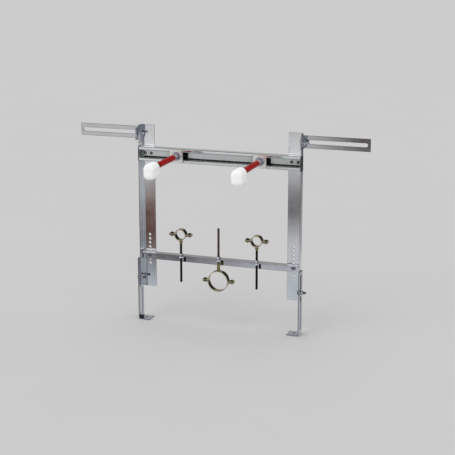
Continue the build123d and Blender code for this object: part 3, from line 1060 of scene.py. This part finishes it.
@dataclass
class PipeClamp(SubAssembly):
    """A two-part pipe clamp on a threaded rod, held to the crossbar by a nut on each side of its shelf.

    Attributes:
        name: Name of the clamp: left, waste or right.
        oiled: Finish of the rod.
        rod_radius: Radius of the rod over its thread.
        rod_pitch: Pitch of the rod.
        across: Width of a nut across its flats.
        nut: Height of a nut.
        bore: Radius of a nut's hole.
        screw_radius: Radius of a clamp screw over its thread.
        screw_pitch: Pitch of a clamp screw.
        head_radius: Radius of a clamp screw's head.
        head: Height of a clamp screw's head.
    """

    name: str
    oiled: PlatedFinish = THREAD_FINISH
    rod_radius: float = 3.98 * MM
    rod_pitch: float = 1.25 * MM
    across: float = 13.0 * MM
    nut: float = 6.5 * MM
    bore: float = 4.1 * MM
    screw_radius: float = 2.95 * MM
    screw_pitch: float = 1.0 * MM
    head_radius: float = 5.0 * MM
    head: float = 3.6 * MM

    def build(self) -> None:
        """Models the rod, its two nuts and the two clamp screws."""
        low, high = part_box(f"{self.name}_rod")
        middle_x = (low.x + high.x) / 2
        middle_y = (low.y + high.y) / 2
        rod = thread(self.rod_radius, self.rod_pitch, high.z - low.z)
        foot = Vector((middle_x, middle_y, low.z))
        hand_over(rod, Way.UP, [foot], f"{self.name}_rod", self.oiled)
        nut_low, nut_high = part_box(f"{self.name}_rod_nuts")
        nut = hexagon(self.across, self.nut, self.bore)
        seats = [Vector((middle_x, middle_y, z)) for z in (nut_low.z, nut_high.z - self.nut)]
        hand_over(nut, Way.UP, seats, f"{self.name}_rod_nuts", NUT_FINISH)
        low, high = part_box(f"{self.name}_clamp_screws")
        head_base = high.z - self.head
        length = head_base - low.z
        screw = pan_screw(self.head_radius, self.head, self.screw_radius, self.screw_pitch, length)
        sides = (low.x + self.head_radius, high.x - self.head_radius)
        seats = [Vector((x, middle_y, head_base)) for x in sides]
        hand_over(screw, Way.UP, seats, f"{self.name}_clamp_screws", OLIVE_FINISH)

    def dress(self) -> None:
        """Gives both halves of the clamp their yellow coat."""
        Paint.nodes(YELLOW_FINISH, f"{self.name}_clamp_upper", f"{self.name}_clamp_lower")


@dataclass
class BasinStud(SubAssembly):
    """A basin stud with its plate, washer, long nut, tube and end cap.

    Attributes:
        name: Side of the stud: left or right.
        radius: Radius of the stud over its thread.
        pitch: Pitch of the stud.
        across: Width of the nut across its flats.
        bore: Radius of the nut's hole.
    """

    name: str
    radius: float = 4.98 * MM
    pitch: float = 1.5 * MM
    across: float = 17.0 * MM
    bore: float = 5.1 * MM

    def build(self) -> None:
        """Models the stud and its long nut."""
        low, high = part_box(f"{self.name}_stud")
        middle_x = (low.x + high.x) / 2
        middle_z = (low.z + high.z) / 2
        stud = thread(self.radius, self.pitch, high.y - low.y)
        end = Vector((middle_x, high.y, middle_z))
        hand_over(stud, Way.ROOM, [end], f"{self.name}_stud", THREAD_FINISH)
        nut_low, nut_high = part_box(f"{self.name}_stud_nut")
        nut = hexagon(self.across, nut_high.y - nut_low.y, self.bore)
        seat = Vector((middle_x, nut_high.y, middle_z))
        hand_over(nut, Way.ROOM, [seat], f"{self.name}_stud_nut", DULL_FINISH)

    def dress(self) -> None:
        """Gives the plates, the washer, the tube and the cap their finishes."""
        Paint.nodes(PALE_FINISH, f"{self.name}_stud_plate")
        Paint.nodes(DULL_FINISH, f"{self.name}_rail_nut", f"{self.name}_stud_washer")
        Paint.nodes(RED_FINISH, f"{self.name}_stud_sleeve")
        Paint.nodes(WHITE_FINISH, f"{self.name}_stud_cap")


def grey(level: float) -> Colour:
    """A neutral colour of a brightness."""
    return (level, level, level)


def greys(*stops: tuple[float, float]) -> Stops:
    """Neutral stops from pairs of a place and a brightness."""
    return tuple((place, grey(level)) for place, level in stops)


# What bright metal mirrors, by height: the sine of the elevation, from -1 to 1.
CEILING: Stops = greys((0.74, 0.10), (0.84, 0.10), (0.92, 0.45), (1.0, 0.50))
FRONT_BELOW: Stops = ((-1.0, (0.50, 0.52, 0.55)), (-0.32, (0.60, 0.64, 0.70)))
FRONT_ABOVE: Stops = (
    *greys((-0.05, 0.70), (0.10, 1.0), (0.16, 1.8), (0.20, 1.8), (0.26, 1.0), (0.5, 0.8)),
    *CEILING,
)
LEFT_FRONT_ROOM: Stops = (
    *FRONT_BELOW,
    (-0.286, (0.60, 0.64, 0.70)),
    (-0.274, (0.12, 0.12, 0.135)),
    (-0.262, (0.24, 0.185, 0.16)),
    (-0.250, (0.14, 0.07, 0.06)),
    (-0.236, (0.13, 0.05, 0.04)),
    (-0.226, (0.20, 0.12, 0.10)),
    (-0.214, (0.42, 0.38, 0.36)),
    *greys((-0.196, 0.62), (-0.190, 1.2), (-0.183, 1.15), (-0.176, 0.72)),
    *FRONT_ABOVE,
)
MIDDLE_FRONT_ROOM: Stops = (
    *FRONT_BELOW,
    (-0.284, (0.58, 0.62, 0.66)),
    *greys((-0.262, 0.78), (-0.250, 0.55), (-0.241, 0.14), (-0.228, 0.18), (-0.200, 0.54)),
    *greys((-0.196, 0.60), (-0.192, 1.2), (-0.186, 1.15), (-0.179, 0.64)),
    *FRONT_ABOVE,
)
ARM_FRONT_ROOM: Stops = (
    *FRONT_BELOW,
    *greys((-0.262, 0.78), (-0.237, 0.30), (-0.215, 0.35)),
    (-0.195, (0.06, 0.03, 0.026)),
    (-0.140, (0.06, 0.03, 0.026)),
    *FRONT_ABOVE,
)
RIGHT_FRONT_ROOM: Stops = (
    (-1.0, (0.35, 0.37, 0.40)),
    (-0.31, (0.52, 0.55, 0.62)),
    (-0.25, (0.42, 0.43, 0.46)),
    (-0.225, (0.55, 0.56, 0.58)),
    (-0.212, (0.80, 0.81, 0.83)),
    (-0.196, (0.80, 0.81, 0.83)),
    (-0.184, (0.10, 0.13, 0.18)),
    (-0.168, (0.08, 0.10, 0.15)),
    (-0.155, (0.42, 0.46, 0.50)),
    *FRONT_ABOVE,
)
LEFT_BACK_ROOM: Stops = (
    *greys((-1.0, 0.60), (-0.30, 0.78), (-0.21, 0.78), (-0.18, 0.30), (0.15, 0.29), (0.178, 0.56)),
    *greys((0.205, 0.56), (0.23, 0.34), (0.27, 0.38), (0.32, 0.62), (0.5, 0.5)),
    *CEILING,
)
RIGHT_BACK_ROOM: Stops = (
    *greys((-1.0, 0.60), (-0.30, 0.70), (-0.275, 0.64), (-0.258, 0.40), (-0.21, 0.28)),
    (-0.18, (0.10, 0.12, 0.15)),
    (-0.10, (0.05, 0.055, 0.065)),
    (0.45, (0.05, 0.055, 0.065)),
    *greys((0.6, 0.3)),
    *CEILING,
)


@dataclass(frozen=True)
class Row:
    """Rooms side by side from left to right.

    Attributes:
        rooms: Colours by height in each room.
        seams: Where each room blends into the next, as the part of a direction along +X.
    """

    rooms: tuple[Stops, ...]
    seams: tuple[Ends, ...]


FRONT_ROW = Row(
    (LEFT_FRONT_ROOM, MIDDLE_FRONT_ROOM, ARM_FRONT_ROOM, RIGHT_FRONT_ROOM),
    ((-0.345, -0.262), (-0.243, -0.212), (-0.15, 0.0)),
)
BACK_ROW = Row((LEFT_BACK_ROOM, RIGHT_BACK_ROOM), ((-0.1, 0.05),))


class Surroundings(Graph):
    """Node tree of the world, read by direction."""

    def __init__(self, name: str) -> None:
        """Starts the scene's world.

        Args:
            name: Name of the world.
        """
        world = bpy.data.worlds.new(name)
        bpy.context.scene.world = world
        world.use_nodes = True
        world.cycles.sampling_method = "NONE"
        super().__init__(world.node_tree)
        self.background = self.tree.nodes["Background"]
        direction = self.add("ShaderNodeTexCoord").outputs["Generated"]
        self.parts = self.add("ShaderNodeSeparateXYZ", {"Vector": direction}).outputs
        self.height = self.share("Z", (-1.0, 1.0))

    def share(self, axis: str, ends: Ends) -> Socket:
        """A share that runs from 0 to 1 while the direction's part along an axis runs between two ends."""
        return self.span(self.parts[axis], 0.0, 1.0, *ends)

    def room(self, stops: Stops) -> Socket:
        """Colours by the sine of the elevation, from -1 to 1."""
        return self.ramp(self.height, tuple(((sine + 1) / 2, colour) for sine, colour in stops))

    def row(self, row: Row) -> Socket:
        """Colours of a row of rooms.

        Args:
            row: The rooms and the seams between them.

        Returns:
            The colour.
        """
        colour = self.room(row.rooms[0])
        for stops, seam in zip(row.rooms[1:], row.seams):
            colour = self.mix(self.share("X", seam), colour, self.room(stops))
        return colour


@dataclass
class Studio:
    """Floor, surroundings, lamp and camera.

    Attributes:
        backdrop: Grey of the background and the floor.
        floor_grey: Colour of the floor, which the light brings to the backdrop's grey.
        floor_tone: How far the floor's colour wanders to either side.
        floor_cloud: Size of its clouds.
        floor_roughness: Roughness of the floor.
        floor_front: How far the floor reaches into the room.
        floor_reach: How far it reaches to the sides and the back.
        ambient: Brightness of the surroundings on matt surfaces.
        front_to_back: Where the front rooms blend into the back ones, as the part along +Y.
        key_strength: Strength of the key lamp.
        key_size: Angle that the key lamp fills, in degrees.
        key_from: Azimuth and elevation that the key light comes from, in degrees.
        azimuth: Camera's angle to the right of straight ahead, in degrees.
        elevation: Camera's angle above the level, in degrees.
        distance: Camera's distance from what it looks at.
        target: Point that the camera looks at.
        focal_pixels: Focal length in pixels of the picture.
        picture: Width of the picture in pixels.
        sensor: Width of the camera's sensor in millimetres.
    """

    backdrop: float = 0.604
    floor_grey: float = 0.554
    floor_tone: float = 0.004
    floor_cloud: float = 0.5
    floor_roughness: float = 0.9
    floor_front: float = 2.0
    floor_reach: float = 6.0
    ambient: float = 0.98
    front_to_back: Ends = (-0.3, 0.3)
    key_strength: float = 0.45
    key_size: float = 34.0
    key_from: tuple[float, float] = (-28.0, 52.0)
    azimuth: float = 18.711
    elevation: float = 14.313
    distance: float = 3.8505
    target: tuple[float, float, float] = (0.02411, 0.018, 0.33204)
    focal_pixels: float = 1189.4
    picture: int = 455
    sensor: float = 36.0

    @staticmethod
    def direction(azimuth: float, elevation: float) -> Vector:
        """Unit vector towards an azimuth and an elevation in degrees, from the front."""
        a, e = math.radians(azimuth), math.radians(elevation)
        return Vector((math.sin(a) * math.cos(e), -math.cos(a) * math.cos(e), math.sin(e)))

    def build(self) -> None:
        """Sets the whole studio up."""
        self._floor()
        self._surroundings()
        self._lamp()
        self._camera()

    def _floor(self) -> None:
        """Lays the plain pale floor."""
        clear()
        depth = self.floor_reach + self.floor_front
        bpy.ops.mesh.primitive_plane_add(size=1.0, location=(0, (self.floor_reach - self.floor_front) / 2, 0))
        floor = bpy.context.active_object
        floor.name = "floor"
        floor.scale = (2 * self.floor_reach, depth, 1)
        bpy.ops.object.transform_apply(location=True, rotation=True, scale=True)
        coat = Coat("pale_floor")
        low, high = grey(self.floor_grey - self.floor_tone), grey(self.floor_grey + self.floor_tone)
        coat.drive({
            "Base Color": coat.fade(coat.noise(self.floor_cloud, 2.0), low, high),
            "Roughness": self.floor_roughness,
            "Specular IOR Level": 0.0,
        })
        floor.data.materials.append(coat.material)
        floor.visible_glossy = False

    def _surroundings(self) -> None:
        """Makes the room that lights matt surfaces evenly and that bright metal mirrors."""
        world = Surroundings("studio")
        rays = world.add("ShaderNodeLightPath").outputs
        towards_back = world.share("Y", self.front_to_back)
        mirrored = world.mix(towards_back, world.row(FRONT_ROW), world.row(BACK_ROW))
        lit = world.mix(rays["Is Glossy Ray"], grey(self.ambient), mirrored)
        seen = world.mix(rays["Is Camera Ray"], lit, grey(self.backdrop))
        world.feed(seen, world.background.inputs["Color"])

    def _lamp(self) -> None:
        """Hangs the soft key lamp."""
        way = self.direction(*self.key_from)
        bpy.ops.object.light_add(type="SUN", location=way * self.floor_reach)
        lamp = bpy.context.active_object
        lamp.name = "key_lamp"
        lamp.rotation_euler = way.to_track_quat("Z", "Y").to_euler()
        lamp.data.energy = self.key_strength
        lamp.data.angle = math.radians(self.key_size)
        lamp.visible_glossy = False

    def _camera(self) -> None:
        """Sets the camera up at the photograph's angle."""
        way = self.direction(self.azimuth, self.elevation)
        bpy.ops.object.camera_add(location=Vector(self.target) + way * self.distance)
        camera = bpy.context.active_object
        camera.rotation_euler = way.to_track_quat("Z", "Y").to_euler()
        camera.data.sensor_width = self.sensor
        camera.data.lens = self.sensor * self.focal_pixels / self.picture
        bpy.context.scene.camera = camera
        bpy.context.scene.view_settings.view_transform = "Standard"


def main() -> None:
    """Builds and dresses each sub-assembly, then sets up the studio."""
    logging.basicConfig(level=logging.INFO, format="%(message)s")
    assemblies = (
        Uprights(),
        TopRail(),
        BracketPair("arm", ARM_FINISH, BOLT_FINISH),
        BracketPair("foot", FOOT_FINISH, DARK_BOLT_FINISH),
        Crossbar(),
        PipeClamp("left"),
        PipeClamp("waste", WASTE_THREAD_FINISH),
        PipeClamp("right"),
        BasinStud("left"),
        BasinStud("right"),
    )
    for assembly in assemblies:
        assembly.build()
        assembly.dress()
    Studio().build()


if __name__ == "__main__":
    main()
